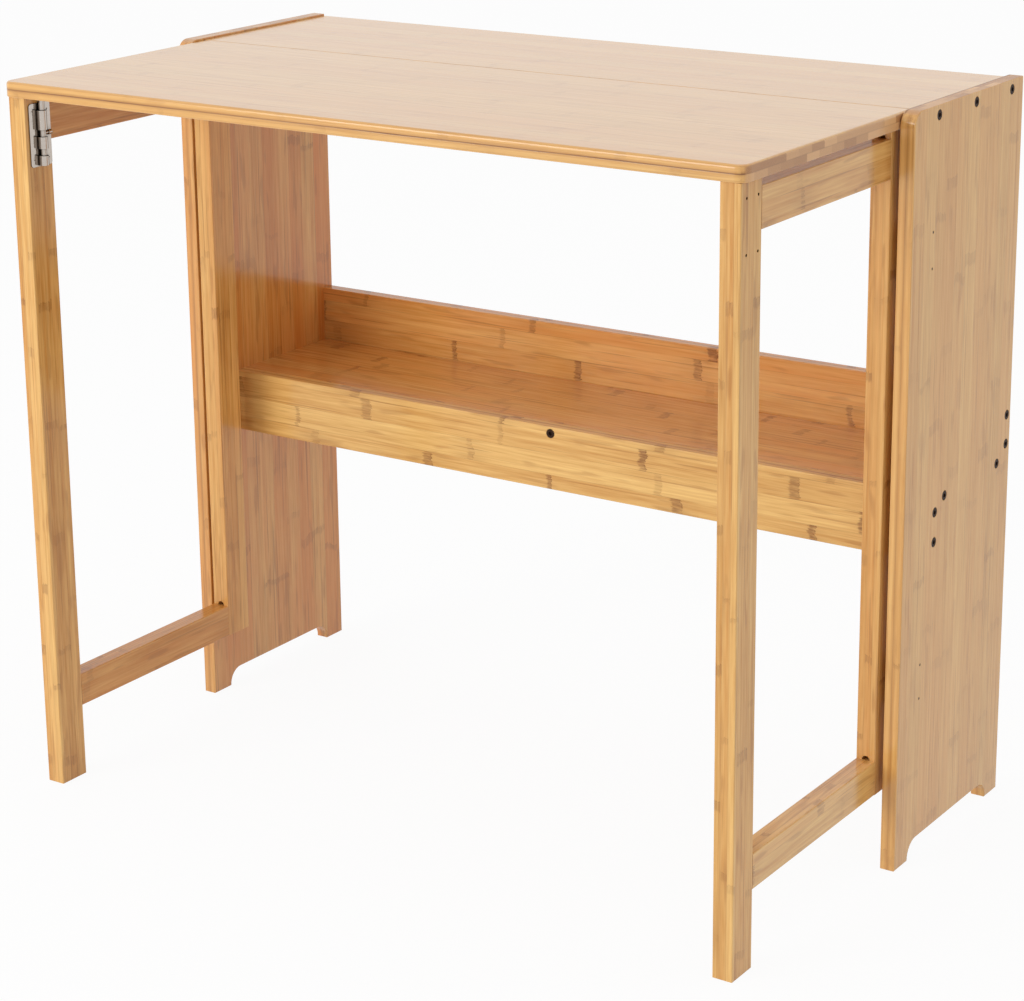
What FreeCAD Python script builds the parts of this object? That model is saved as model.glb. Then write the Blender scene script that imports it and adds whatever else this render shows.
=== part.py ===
"""Gate-leg folding desk in laminated bamboo, standing open.

A shallow carcass (two side panels, a fixed rear strip of table top and a tray
shelf) carries a drop leaf on three butt hinges. Two gate frames, hung on butt
hinges inside the side panels, swing out under the leaf and hold it up, and a
barrel bolt on each gate's front leg points up at a socket in the leaf.

Frame: origin at the bottom centre of the open desk, +X to the right, +Y to
the rear, +Z up, in millimetres. Pieces of the right side are modelled at +X
and mirrored for the left side.
"""
import FreeCAD
import Part
import math
import os

from FreeCAD import Vector

# Overall size, standing open
DESK_WIDTH = 850.0
DESK_HEIGHT = 730.0
OPEN_DEPTH = 510.0
CARCASS_DEPTH = 232.0

# Boards
PANEL_THICKNESS = 15.0
TOP_THICKNESS = 15.0
SHELF_THICKNESS = 15.0
RAIL_THICKNESS = 15.0
EDGE_EASE = 1.0

# Side panels
PANEL_CORNER_RADIUS = 14.0
PANEL_PROUD = 2.0
FOOT_LENGTH = 28.0
ARCH_HEIGHT = 18.0
ARCH_CORNER_RADIUS = 17.0

# Fixed top and drop leaf
SEAM_SETBACK = 25.0
SEAM_GAP = 1.0
LEAF_END_GAP = 1.0
LEAF_CORNER_RADIUS = 11.0
LEAF_TOP_RADIUS = 3.0
FIXED_TOP_REAR_INSET = 1.0

# Tray shelf
SHELF_TOP_HEIGHT = 360.0
FRONT_RAIL_HEIGHT = 67.0
BACK_RAIL_RISE = 60.0
BACK_RAIL_INSET = 1.0
FOLDED_GATE_GAP = 1.0

# Gate frames
GATE_THICKNESS = 20.0
GATE_SIDE_GAP = 6.0
LEG_DEPTH = 35.0
LEG_SETBACK = 3.0
LEG_TOP_GAP = 0.5
STILE_DEPTH = 34.5
STILE_PROUD = 3.5
STILE_TOP_GAP = 1.5
GATE_BOTTOM_HEIGHT = 75.0
TOP_RAIL_DROP = 8.0
TOP_RAIL_HEIGHT = 37.0
BOTTOM_RAIL_HEIGHT = 34.0
TENON_THICKNESS = 8.0
TENON_LENGTH = 20.0
TENON_SHOULDER = 8.0
TENON_CLEARANCE = 0.1

# Butt hinges, the same pattern on gates and leaf
HINGE_LENGTH = 50.0
HINGE_LEAF_WIDTH = 19.0
HINGE_LEAF_THICKNESS = 1.2
HINGE_CORNER_RADIUS = 2.0
KNUCKLE_RADIUS = 2.75
KNUCKLE_COUNT = 5
KNUCKLE_GAP = 0.25
PIN_RADIUS = 1.25
PIN_HEAD_RADIUS = 2.2
PIN_HEAD_HEIGHT = 0.8
PIN_CLEARANCE = 0.05
HINGE_SCREW_SPACING = 34.0
HINGE_SCREW_SETBACK = 9.5
GATE_HINGE_UPPER_DROP = 116.0
GATE_HINGE_LOWER_RISE = 104.0
LEAF_HINGE_OFFSET = 250.0

# Small countersunk wood screws for hinges and bolts
SMALL_HEAD_RADIUS = 2.6
SMALL_HEAD_DEPTH = 1.2
SMALL_SHANK_RADIUS = 1.3
CROSS_ARM_LENGTH = 1.3
CROSS_ARM_WIDTH = 0.8
CROSS_DEPTH = 0.8
STILE_SCREW_DEPTH = 16.0
TOP_SCREW_DEPTH = 11.0
TIP_RECESS = 0.2
SCREW_CLEARANCE = 0.05
PILOT_EXTRA_DEPTH = 1.0

# Socket-head connector screws for the carcass
PANEL_HEAD_RADIUS = 4.6
PANEL_HEAD_DEPTH = 3.0
PANEL_SHANK_RADIUS = 2.5
PANEL_SCREW_LENGTH = 45.0
PANEL_SCREW_RIM = 0.5
SOCKET_SIDES = 6
SOCKET_WIDTH = 4.0
SOCKET_DEPTH = 2.4
TOP_SCREW_INSET = 24.0
TOP_SCREWS_PER_SIDE = 3
SHELF_SCREW_INSET = 12.5
RAIL_SCREW_SPACING = 29.5

# Barrel bolts on the front legs
BOLT_PLATE_WIDTH = 29.0
BOLT_PLATE_HEIGHT = 62.0
BOLT_PLATE_THICKNESS = 1.2
BOLT_PLATE_RADIUS = 3.0
BOLT_PLATE_DROP = 7.0
BOLT_LEG_SETBACK = 19.25
BOLT_ROD_RADIUS = 3.0
BOLT_ROD_LENGTH = 66.0
BOLT_ROD_CLEARANCE = 0.05
BOLT_ROD_STANDOFF = 0.2
BOLT_TIP_GAP = 0.4
BOLT_TIP_CHAMFER = 0.8
BOLT_HOUSING_RADIUS = 4.6
BOLT_HOUSING_STARTS = (7.0, 33.0, 51.5)
BOLT_HOUSING_LENGTHS = (19.0, 11.5, 9.5)
BOLT_SLOT_CLEARANCE = 0.35
BOLT_KNOB_DROP = 3.5
BOLT_NECK_RADIUS = 1.75
BOLT_NECK_LENGTH = 6.5
BOLT_KNOB_RADIUS = 2.5
BOLT_KNOB_LENGTH = 5.0
BOLT_KNOB_ROUND = 1.2
BOLT_SCREW_SPACING_Y = 19.6
BOLT_SCREW_SPACING_Z = 47.5
BOLT_SOCKET_CLEARANCE = 0.4
BOLT_SOCKET_DEPTH = 9.0

# Limit for telling two directions or two places apart
TOLERANCE = 1e-6

X = Vector(1, 0, 0)
Y = Vector(0, 1, 0)
Z = Vector(0, 0, 1)

# Planes that several pieces share
half_width = DESK_WIDTH / 2
inner_face = half_width - PANEL_THICKNESS
rear_edge = OPEN_DEPTH / 2
front_edge = -OPEN_DEPTH / 2
panel_front = rear_edge - CARCASS_DEPTH
top_surface = DESK_HEIGHT - PANEL_PROUD
underside = top_surface - TOP_THICKNESS
seam = panel_front + SEAM_SETBACK

# The knuckle clears the face that a hinge leaf is screwed to
axis_offset = KNUCKLE_RADIUS + KNUCKLE_GAP

# Gate frame planes, right side
gate_outer = inner_face - GATE_SIDE_GAP
gate_inner = gate_outer - GATE_THICKNESS
gate_middle = (gate_outer + gate_inner) / 2
stile_front = panel_front - STILE_PROUD
stile_rear = stile_front + STILE_DEPTH
leg_front = front_edge + LEG_SETBACK
leg_rear = leg_front + LEG_DEPTH
gate_axis_x = inner_face - axis_offset
gate_axis_y = stile_rear + axis_offset
folded_gate_rear = gate_axis_y + gate_axis_x - gate_inner

# Tray shelf planes, behind the folded gates
front_rail_front = folded_gate_rear + FOLDED_GATE_GAP
front_rail_rear = front_rail_front + RAIL_THICKNESS
back_rail_rear = rear_edge - BACK_RAIL_INSET
back_rail_front = back_rail_rear - RAIL_THICKNESS
shelf_underside = SHELF_TOP_HEIGHT - SHELF_THICKNESS
shelf_middle = SHELF_TOP_HEIGHT - SHELF_THICKNESS / 2

pieces = {}


def box(x_range, y_range, z_range):
    """A block between two planes on each axis."""
    size = [high - low for low, high in (x_range, y_range, z_range)]
    return Part.makeBox(*size, Vector(x_range[0], y_range[0], z_range[0]))


def cylinder(radius, start, end):
    """A round bar between two points."""
    axis = end - start
    return Part.makeCylinder(radius, axis.Length, start, axis)


def rounded_face(corners, to_point):
    """A flat face from (u, v, radius) corners, each rounded by its radius."""
    places = [Vector(u, v, 0) for u, v, _ in corners]
    edges = []
    joints = []
    count = len(corners)
    for i, (_, _, radius) in enumerate(corners):
        to_last = (places[i - 1] - places[i]).normalize()
        to_next = (places[(i + 1) % count] - places[i]).normalize()
        half_turn = to_last.getAngle(to_next) / 2
        reach = radius / math.tan(half_turn)
        start = places[i] + to_last * reach
        end = places[i] + to_next * reach
        bisector = (to_last + to_next).normalize()
        middle = places[i] + bisector * (radius / math.sin(half_turn) - radius)
        joints.append((start, middle, end, radius))
    for i, (start, middle, end, radius) in enumerate(joints):
        if radius > 0:
            arc = Part.Arc(to_point(start), to_point(middle), to_point(end))
            edges.append(arc.toShape())
        following = joints[(i + 1) % count][0]
        edges.append(Part.LineSegment(to_point(end), to_point(following)).toShape())
    return Part.Face(Part.Wire(edges))


def edges_along(shape, direction):
    """The straight edges of a shape that run along a direction."""
    found = []
    for edge in shape.Edges:
        if not isinstance(edge.Curve, Part.Line):
            continue
        if edge.Curve.Direction.cross(direction).Length < TOLERANCE:
            found.append(edge)
    return found


def edges_on(shape, axis, value):
    """The edges of a shape that lie in the plane where one coordinate is fixed."""
    found = []
    for edge in shape.Edges:
        bounds = edge.BoundBox
        low = (bounds.XMin, bounds.YMin, bounds.ZMin)[axis]
        high = (bounds.XMax, bounds.YMax, bounds.ZMax)[axis]
        if abs(low - value) < TOLERANCE and abs(high - value) < TOLERANCE:
            found.append(edge)
    return found


def mirrored(shape):
    """The left-hand twin of a right-hand piece."""
    return shape.mirror(Vector(0, 0, 0), Vector(1, 0, 0))


def add_pair(name, shape):
    """Keep a right-hand piece and its mirrored left-hand twin."""
    pieces["right_" + name] = shape
    pieces["left_" + name] = mirrored(shape)


def screw(head, direction, length, head_radius, head_depth, shank_radius):
    """A countersunk screw whose head face is centred on a point."""
    cone = Part.makeCone(head_radius, shank_radius, head_depth, head, direction)
    shank = cylinder(shank_radius, head + direction * head_depth, head + direction * length)
    return cone.fuse(shank).removeSplitter()


def driver_recess(head, direction, outline, depth):
    """A prism sunk into a screw's head, from (across, up) corners round its centre."""
    across = direction.cross(Z)
    corners = [head + across * u + Z * v for u, v in outline]
    return Part.Face(Part.makePolygon(corners + corners[:1])).extrude(direction * depth)


def cross_outline():
    """The twelve corners of a cross, three for each quarter turn."""
    half_arm = CROSS_ARM_WIDTH / 2
    quarter = [(-half_arm, CROSS_ARM_LENGTH), (half_arm, CROSS_ARM_LENGTH), (half_arm, half_arm)]
    corners = []
    for _ in range(4):
        corners += quarter
        quarter = [(v, -u) for u, v in quarter]
    return corners


def hexagon_outline():
    """The corners of a hexagon, given its width across the flats."""
    turn = 2 * math.pi / SOCKET_SIDES
    corner_radius = SOCKET_WIDTH / 2 / math.cos(turn / 2)
    angles = [turn * i for i in range(SOCKET_SIDES)]
    return [(corner_radius * math.sin(angle), corner_radius * math.cos(angle)) for angle in angles]


def small_screw(head, direction, length):
    """A wood screw for a hinge or bolt plate, with a cross recess in its flat head."""
    body = screw(head, direction, length, SMALL_HEAD_RADIUS, SMALL_HEAD_DEPTH, SMALL_SHANK_RADIUS)
    return body.cut(driver_recess(head, direction, cross_outline(), CROSS_DEPTH))


def small_screw_hole(head, direction, length):
    """The countersunk pilot hole for a wood screw."""
    return screw(head, direction, length + PILOT_EXTRA_DEPTH, SMALL_HEAD_RADIUS + SCREW_CLEARANCE,
                 SMALL_HEAD_DEPTH, SMALL_SHANK_RADIUS + SCREW_CLEARANCE)


def panel_screw(head, direction):
    """A connector screw with a hexagon socket in its flat head."""
    body = screw(head, direction, PANEL_SCREW_LENGTH, PANEL_HEAD_RADIUS,
                 PANEL_HEAD_DEPTH, PANEL_SHANK_RADIUS)
    return body.cut(driver_recess(head, direction, hexagon_outline(), SOCKET_DEPTH))


def panel_screw_hole(head, direction):
    """The countersunk hole for a connector screw, with a rim round its head."""
    return screw(head, direction, PANEL_SCREW_LENGTH + PILOT_EXTRA_DEPTH,
                 PANEL_HEAD_RADIUS + PANEL_SCREW_RIM, PANEL_HEAD_DEPTH + PANEL_SCREW_RIM,
                 PANEL_SHANK_RADIUS + SCREW_CLEARANCE)


def hinge_leaf(own_knuckles):
    """One leaf of a butt hinge, its pin along Z, lying along +X on wood at -Y."""
    half_length = HINGE_LENGTH / 2
    plate_start = KNUCKLE_RADIUS + KNUCKLE_GAP
    outline = [(plate_start, -half_length, 0),
               (HINGE_LEAF_WIDTH, -half_length, HINGE_CORNER_RADIUS),
               (HINGE_LEAF_WIDTH, half_length, HINGE_CORNER_RADIUS),
               (plate_start, half_length, 0)]
    plate_face = rounded_face(outline, lambda p: Vector(p.x, -axis_offset, p.y))
    leaf = plate_face.extrude(Vector(0, HINGE_LEAF_THICKNESS, 0))
    pitch = HINGE_LENGTH / KNUCKLE_COUNT
    for index in own_knuckles:
        low = -half_length + index * pitch
        high = low + pitch
        if index > 0:
            low += KNUCKLE_GAP / 2
        if index < KNUCKLE_COUNT - 1:
            high -= KNUCKLE_GAP / 2
        barrel = cylinder(KNUCKLE_RADIUS, Vector(0, 0, low), Vector(0, 0, high))
        tab = box((0, plate_start), (-axis_offset, -axis_offset + HINGE_LEAF_THICKNESS), (low, high))
        leaf = leaf.fuse(barrel).fuse(tab)
    bore_end = Vector(0, 0, half_length)
    leaf = leaf.cut(cylinder(PIN_RADIUS + PIN_CLEARANCE, -bore_end, bore_end))
    for head, direction in hinge_screw_places():
        leaf = leaf.cut(small_screw_hole(head, direction, STILE_SCREW_DEPTH))
    return leaf.removeSplitter()


def hinge_screw_places():
    """Head centre and direction of the screws in one hinge leaf."""
    head_level = -axis_offset + HINGE_LEAF_THICKNESS
    for height in (-HINGE_SCREW_SPACING / 2, HINGE_SCREW_SPACING / 2):
        yield Vector(HINGE_SCREW_SETBACK, head_level, height), Vector(0, -1, 0)


def hinge_pin():
    """A hinge pin with a low round head at each end of the barrel."""
    half_length = HINGE_LENGTH / 2
    end = Vector(0, 0, half_length + PIN_CLEARANCE)
    head = Vector(0, 0, PIN_HEAD_HEIGHT)
    pin = cylinder(PIN_RADIUS, -end, end)
    pin = pin.fuse(cylinder(PIN_HEAD_RADIUS, end, end + head))
    return pin.fuse(cylinder(PIN_HEAD_RADIUS, -end - head, -end)).removeSplitter()


def placed(shape, origin, x_axis, y_axis):
    """A copy of a shape with its X and Y axes turned and its origin moved."""
    turn = FreeCAD.Rotation(x_axis, y_axis, x_axis.cross(y_axis), "XYZ")
    copy = shape.copy()
    copy.Placement = FreeCAD.Placement(origin, turn)
    return copy


FIXED_KNUCKLES = range(0, KNUCKLE_COUNT, 2)
MOVING_KNUCKLES = range(1, KNUCKLE_COUNT, 2)


def make_hinge(origin, fixed_axes, moving_axes, fixed_depth, moving_depth):
    """Place a butt hinge: its two leaves, pin, screws and the screws' pilot holes."""
    hinge = {
        "fixed": placed(hinge_leaf(FIXED_KNUCKLES), origin, *fixed_axes),
        "moving": placed(hinge_leaf(MOVING_KNUCKLES), origin, *moving_axes),
        "pin": placed(hinge_pin(), origin, *fixed_axes),
    }
    for name, axes, depth in (("fixed", fixed_axes, fixed_depth), ("moving", moving_axes, moving_depth)):
        screws = [small_screw(*place, depth) for place in hinge_screw_places()]
        holes = [small_screw_hole(*place, depth) for place in hinge_screw_places()]
        hinge[name + "_screws"] = [placed(s, origin, *axes) for s in screws]
        hinge[name + "_holes"] = [placed(h, origin, *axes) for h in holes]
    return hinge


# Gate hinges, right side: the fixed leaf runs back along the panel, the moving
# leaf lies on the stile's rear face. The fixed screws show their tips outside.
panel_screw_depth = HINGE_LEAF_THICKNESS + PANEL_THICKNESS - TIP_RECESS
gate_hinge_heights = {"upper": underside - GATE_HINGE_UPPER_DROP,
                      "lower": GATE_BOTTOM_HEIGHT + GATE_HINGE_LOWER_RISE}
gate_hinges = {}
for level, height in gate_hinge_heights.items():
    gate_hinges[level] = make_hinge(Vector(gate_axis_x, gate_axis_y, height),
                                    (Y, -X), (-X, Y), panel_screw_depth, STILE_SCREW_DEPTH)

# Leaf hinges: open flat under the seam, knuckles hanging below the boards
leaf_hinges = {}
for place, x in (("left", -LEAF_HINGE_OFFSET), ("middle", 0.0), ("right", LEAF_HINGE_OFFSET)):
    leaf_hinges[place] = make_hinge(Vector(x, seam, underside - axis_offset),
                                    (Y, -Z), (-Y, -Z), TOP_SCREW_DEPTH, TOP_SCREW_DEPTH)


def right_panel_screw_places():
    """Head centres of the connector screws in the right panel's outer face."""
    fixed_top_front = seam + SEAM_GAP / 2
    first = fixed_top_front + TOP_SCREW_INSET
    last = rear_edge - FIXED_TOP_REAR_INSET - TOP_SCREW_INSET
    step = (last - first) / (TOP_SCREWS_PER_SIDE - 1)
    for i in range(TOP_SCREWS_PER_SIDE):
        yield Vector(half_width, first + i * step, underside + TOP_THICKNESS / 2)
    for y in (front_rail_rear + SHELF_SCREW_INSET, back_rail_front - SHELF_SCREW_INSET):
        yield Vector(half_width, y, shelf_middle)
    front_rail_middle = SHELF_TOP_HEIGHT - FRONT_RAIL_HEIGHT / 2
    back_rail_middle = (shelf_underside + SHELF_TOP_HEIGHT + BACK_RAIL_RISE) / 2
    for offset in (-RAIL_SCREW_SPACING / 2, RAIL_SCREW_SPACING / 2):
        yield Vector(half_width, front_rail_front + RAIL_THICKNESS / 2, front_rail_middle + offset)
        yield Vector(half_width, back_rail_front + RAIL_THICKNESS / 2, back_rail_middle + offset)


def side_panel():
    """A side panel: rounded top front corner and a long low arch between its feet."""
    arch_front = panel_front + FOOT_LENGTH
    arch_rear = rear_edge - FOOT_LENGTH
    corners = [(panel_front, 0, 0),
               (arch_front, 0, 0),
               (arch_front, ARCH_HEIGHT, ARCH_CORNER_RADIUS),
               (arch_rear, ARCH_HEIGHT, ARCH_CORNER_RADIUS),
               (arch_rear, 0, 0),
               (rear_edge, 0, 0),
               (rear_edge, DESK_HEIGHT, EDGE_EASE),
               (panel_front, DESK_HEIGHT, PANEL_CORNER_RADIUS)]
    face = rounded_face(corners, lambda p: Vector(inner_face, p.x, p.y))
    panel = face.extrude(Vector(PANEL_THICKNESS, 0, 0))
    rims = edges_on(panel, 0, inner_face) + edges_on(panel, 0, half_width)
    panel = panel.makeFillet(EDGE_EASE, rims)
    for head in right_panel_screw_places():
        panel = panel.cut(panel_screw_hole(head, -X))
    for hinge in gate_hinges.values():
        for hole in hinge["fixed_holes"]:
            panel = panel.cut(hole)
    return panel


def carcass_board(y_range, z_range):
    """A board between the panels, drilled at its ends, with eased long edges."""
    board = box((-inner_face, inner_face), y_range, z_range)
    board = board.makeFillet(EDGE_EASE, edges_along(board, X))
    for head in right_panel_screw_places():
        hole = panel_screw_hole(head, -X)
        if hole.BoundBox.intersect(board.BoundBox):
            board = board.cut(hole).cut(mirrored(hole))
    return board


add_pair("side_panel", side_panel())
panel_screws = [panel_screw(head, -X) for head in right_panel_screw_places()]
add_pair("panel_screws", Part.makeCompound(panel_screws))

fixed_top = carcass_board((seam + SEAM_GAP / 2, rear_edge - FIXED_TOP_REAR_INSET),
                          (underside, top_surface))
for hinge in leaf_hinges.values():
    for hole in hinge["fixed_holes"]:
        fixed_top = fixed_top.cut(hole)
pieces["fixed_top"] = fixed_top

# The tray's front and back rails are each screwed to the middle of the shelf
front_screw_head = Vector(0, front_rail_front, shelf_middle)
back_screw_head = Vector(0, back_rail_rear, shelf_middle)
front_hole = panel_screw_hole(front_screw_head, Y)
back_hole = panel_screw_hole(back_screw_head, -Y)
shelf = carcass_board((front_rail_rear, back_rail_front), (shelf_underside, SHELF_TOP_HEIGHT))
front_rail = carcass_board((front_rail_front, front_rail_rear),
                           (SHELF_TOP_HEIGHT - FRONT_RAIL_HEIGHT, SHELF_TOP_HEIGHT))
back_rail = carcass_board((back_rail_front, back_rail_rear),
                          (shelf_underside, SHELF_TOP_HEIGHT + BACK_RAIL_RISE))
pieces["shelf_board"] = shelf.cut(front_hole).cut(back_hole)
pieces["shelf_front_rail"] = front_rail.cut(front_hole)
pieces["shelf_back_rail"] = back_rail.cut(back_hole)
pieces["shelf_screws"] = Part.makeCompound([panel_screw(front_screw_head, Y),
                                            panel_screw(back_screw_head, -Y)])

# Barrel bolt levels, right side, measured down from the leaf's underside
bolt_plate_top = underside - BOLT_PLATE_DROP
bolt_axis_x = gate_inner - BOLT_PLATE_THICKNESS - BOLT_ROD_STANDOFF - BOLT_ROD_RADIUS
bolt_axis_y = leg_front + BOLT_LEG_SETBACK
bolt_knob_height = bolt_plate_top - BOLT_HOUSING_STARTS[0] - BOLT_HOUSING_LENGTHS[0] - BOLT_KNOB_DROP


def bolt_screw_places():
    """Head centres of the four screws in the right bolt's plate."""
    middle = bolt_plate_top - BOLT_PLATE_HEIGHT / 2
    for dy in (-BOLT_SCREW_SPACING_Y / 2, BOLT_SCREW_SPACING_Y / 2):
        for dz in (-BOLT_SCREW_SPACING_Z / 2, BOLT_SCREW_SPACING_Z / 2):
            yield Vector(gate_inner - BOLT_PLATE_THICKNESS, bolt_axis_y + dy, middle + dz)


bolt_screw_length = BOLT_PLATE_THICKNESS + GATE_THICKNESS - TIP_RECESS
bolt_holes = [small_screw_hole(head, X, bolt_screw_length) for head in bolt_screw_places()]


def bolt_base():
    """The bolt's plate with its three half-round housings, bored for the rod.

    The middle housing is slotted on its rear side, where the knob's neck slides by.
    """
    low = bolt_plate_top - BOLT_PLATE_HEIGHT
    front = bolt_axis_y - BOLT_PLATE_WIDTH / 2
    rear = bolt_axis_y + BOLT_PLATE_WIDTH / 2
    outline = [(y, z, BOLT_PLATE_RADIUS) for y, z in
               ((front, low), (rear, low), (rear, bolt_plate_top), (front, bolt_plate_top))]
    face = rounded_face(outline, lambda p: Vector(gate_inner, p.x, p.y))
    base = face.extrude(Vector(-BOLT_PLATE_THICKNESS, 0, 0))
    for start, length in zip(BOLT_HOUSING_STARTS, BOLT_HOUSING_LENGTHS):
        top = bolt_plate_top - start
        crown = cylinder(BOLT_HOUSING_RADIUS, Vector(bolt_axis_x, bolt_axis_y, top - length),
                         Vector(bolt_axis_x, bolt_axis_y, top))
        cheeks = box((bolt_axis_x, gate_inner),
                     (bolt_axis_y - BOLT_HOUSING_RADIUS, bolt_axis_y + BOLT_HOUSING_RADIUS),
                     (top - length, top))
        base = base.fuse(crown).fuse(cheeks)
    behind_plate = box((gate_inner, inner_face), (front, rear), (low, bolt_plate_top))
    bore = cylinder(BOLT_ROD_RADIUS + BOLT_ROD_CLEARANCE, Vector(bolt_axis_x, bolt_axis_y, low),
                    Vector(bolt_axis_x, bolt_axis_y, bolt_plate_top))
    slot_reach = BOLT_NECK_RADIUS + BOLT_SLOT_CLEARANCE
    slot_top = bolt_plate_top - BOLT_HOUSING_STARTS[1]
    slot = box((bolt_axis_x - slot_reach, bolt_axis_x + slot_reach), (bolt_axis_y, rear),
               (slot_top - BOLT_HOUSING_LENGTHS[1], slot_top))
    base = base.cut(behind_plate).cut(bore).cut(slot)
    for hole in bolt_holes:
        base = base.cut(hole)
    return base.removeSplitter()


def bolt_rod():
    """The sliding rod, chamfered at its tip, with a side knob pointing back."""
    tip = Vector(bolt_axis_x, bolt_axis_y, underside - BOLT_TIP_GAP)
    rod = cylinder(BOLT_ROD_RADIUS, tip - Z * BOLT_ROD_LENGTH, tip)
    rod = rod.makeChamfer(BOLT_TIP_CHAMFER, edges_on(rod, 2, tip.z))
    root = Vector(bolt_axis_x, bolt_axis_y, bolt_knob_height)
    neck = cylinder(BOLT_NECK_RADIUS, root, root + Y * BOLT_NECK_LENGTH)
    knob_end = root.y + BOLT_NECK_LENGTH + BOLT_KNOB_LENGTH
    knob = cylinder(BOLT_KNOB_RADIUS, root + Y * BOLT_NECK_LENGTH, Vector(root.x, knob_end, root.z))
    knob = knob.makeFillet(BOLT_KNOB_ROUND, edges_on(knob, 1, knob_end))
    return rod.fuse(neck).fuse(knob).removeSplitter()


def upright(y_range, z_range):
    """A leg or stile of the right gate with its long edges eased."""
    post = box((gate_inner, gate_outer), y_range, z_range)
    return post.makeFillet(EDGE_EASE, edges_along(post, Z))


def gate_rail(z_range):
    """A gate rail with a tenon at each end and eased long edges."""
    rail = box((gate_inner, gate_outer), (leg_rear, stile_front), z_range)
    rail = rail.makeFillet(EDGE_EASE, edges_along(rail, Y))
    half_tenon = TENON_THICKNESS / 2
    tenon = box((gate_middle - half_tenon, gate_middle + half_tenon),
                (leg_rear - TENON_LENGTH, stile_front + TENON_LENGTH),
                (z_range[0] + TENON_SHOULDER, z_range[1] - EDGE_EASE))
    return rail.fuse(tenon).removeSplitter()


def mortise(z_range, y_face, y_direction):
    """A routed round-ended slot for a rail's tenon, its top end above the rail."""
    radius = TENON_THICKNESS / 2 + TENON_CLEARANCE
    reach = y_direction * (TENON_LENGTH + TENON_CLEARANCE)
    low = Vector(gate_middle, y_face, z_range[0] + TENON_SHOULDER)
    high = Vector(gate_middle, y_face, z_range[1])
    y_range = sorted((y_face, (low + reach).y))
    slot = box((gate_middle - radius, gate_middle + radius), y_range, (low.z, high.z))
    return slot.fuse(cylinder(radius, low, low + reach)).fuse(cylinder(radius, high, high + reach))


top_rail_range = (underside - TOP_RAIL_DROP - TOP_RAIL_HEIGHT, underside - TOP_RAIL_DROP)
bottom_rail_range = (GATE_BOTTOM_HEIGHT, GATE_BOTTOM_HEIGHT + BOTTOM_RAIL_HEIGHT)
leg = upright((leg_front, leg_rear), (0, underside - LEG_TOP_GAP))
stile = upright((stile_front, stile_rear), (GATE_BOTTOM_HEIGHT, underside - STILE_TOP_GAP))
for rail_range in (top_rail_range, bottom_rail_range):
    leg = leg.cut(mortise(rail_range, leg_rear, -Y))
    stile = stile.cut(mortise(rail_range, stile_front, Y))
top_rail = gate_rail(top_rail_range)
for hole in bolt_holes:
    leg = leg.cut(hole)
    top_rail = top_rail.cut(hole)
for hinge in gate_hinges.values():
    for hole in hinge["moving_holes"]:
        stile = stile.cut(hole)
add_pair("front_leg", leg)
add_pair("rear_stile", stile)
add_pair("gate_top_rail", top_rail)
add_pair("gate_bottom_rail", gate_rail(bottom_rail_range))

panel_side_screws = []
stile_side_screws = []
for level, hinge in gate_hinges.items():
    add_pair("gate_" + level + "_hinge_fixed_leaf", hinge["fixed"])
    add_pair("gate_" + level + "_hinge_moving_leaf", hinge["moving"])
    add_pair("gate_" + level + "_hinge_pin", hinge["pin"])
    panel_side_screws += hinge["fixed_screws"]
    stile_side_screws += hinge["moving_screws"]
add_pair("gate_hinge_panel_screws", Part.makeCompound(panel_side_screws))
add_pair("gate_hinge_stile_screws", Part.makeCompound(stile_side_screws))

add_pair("bolt_base", bolt_base())
add_pair("bolt_rod", bolt_rod())
bolt_screws = [small_screw(head, X, bolt_screw_length) for head in bolt_screw_places()]
add_pair("bolt_screws", Part.makeCompound(bolt_screws))


def drop_leaf():
    """The leaf: rounded front corners, a softened top edge and two bolt sockets."""
    end = inner_face - LEAF_END_GAP
    rear = seam - SEAM_GAP / 2
    corners = [(-end, front_edge, LEAF_CORNER_RADIUS),
               (end, front_edge, LEAF_CORNER_RADIUS),
               (end, rear, 0),
               (-end, rear, 0)]
    board = rounded_face(corners, lambda p: Vector(p.x, p.y, underside)).extrude(Z * TOP_THICKNESS)
    top_rim = [edge for edge in edges_on(board, 2, top_surface) if edge.BoundBox.YMin < rear]
    board = board.makeFillet(LEAF_TOP_RADIUS, top_rim)
    bottom_rim = [edge for edge in edges_on(board, 2, underside) if edge.BoundBox.YMin < rear]
    board = board.makeFillet(EDGE_EASE, bottom_rim)
    mouth = Vector(bolt_axis_x, bolt_axis_y, underside)
    socket = cylinder(BOLT_ROD_RADIUS + BOLT_SOCKET_CLEARANCE, mouth, mouth + Z * BOLT_SOCKET_DEPTH)
    board = board.cut(socket).cut(mirrored(socket))
    for hinge in leaf_hinges.values():
        for hole in hinge["moving_holes"]:
            board = board.cut(hole)
    return board


pieces["drop_leaf"] = drop_leaf()
fixed_top_screws = []
leaf_screws = []
for place, hinge in leaf_hinges.items():
    pieces["leaf_" + place + "_hinge_fixed_leaf"] = hinge["fixed"]
    pieces["leaf_" + place + "_hinge_moving_leaf"] = hinge["moving"]
    pieces["leaf_" + place + "_hinge_pin"] = hinge["pin"]
    fixed_top_screws += hinge["fixed_screws"]
    leaf_screws += hinge["moving_screws"]
pieces["leaf_hinge_fixed_top_screws"] = Part.makeCompound(fixed_top_screws)
pieces["leaf_hinge_leaf_screws"] = Part.makeCompound(leaf_screws)

os.makedirs("parts", exist_ok=True)
for name, shape in pieces.items():
    shape.exportStep("parts/" + name + ".step")
print(len(pieces), "pieces")
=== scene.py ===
"""Gate-leg folding desk in laminated bamboo, open, in a plain white studio."""
import functools
import itertools
import math
from types import SimpleNamespace

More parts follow.
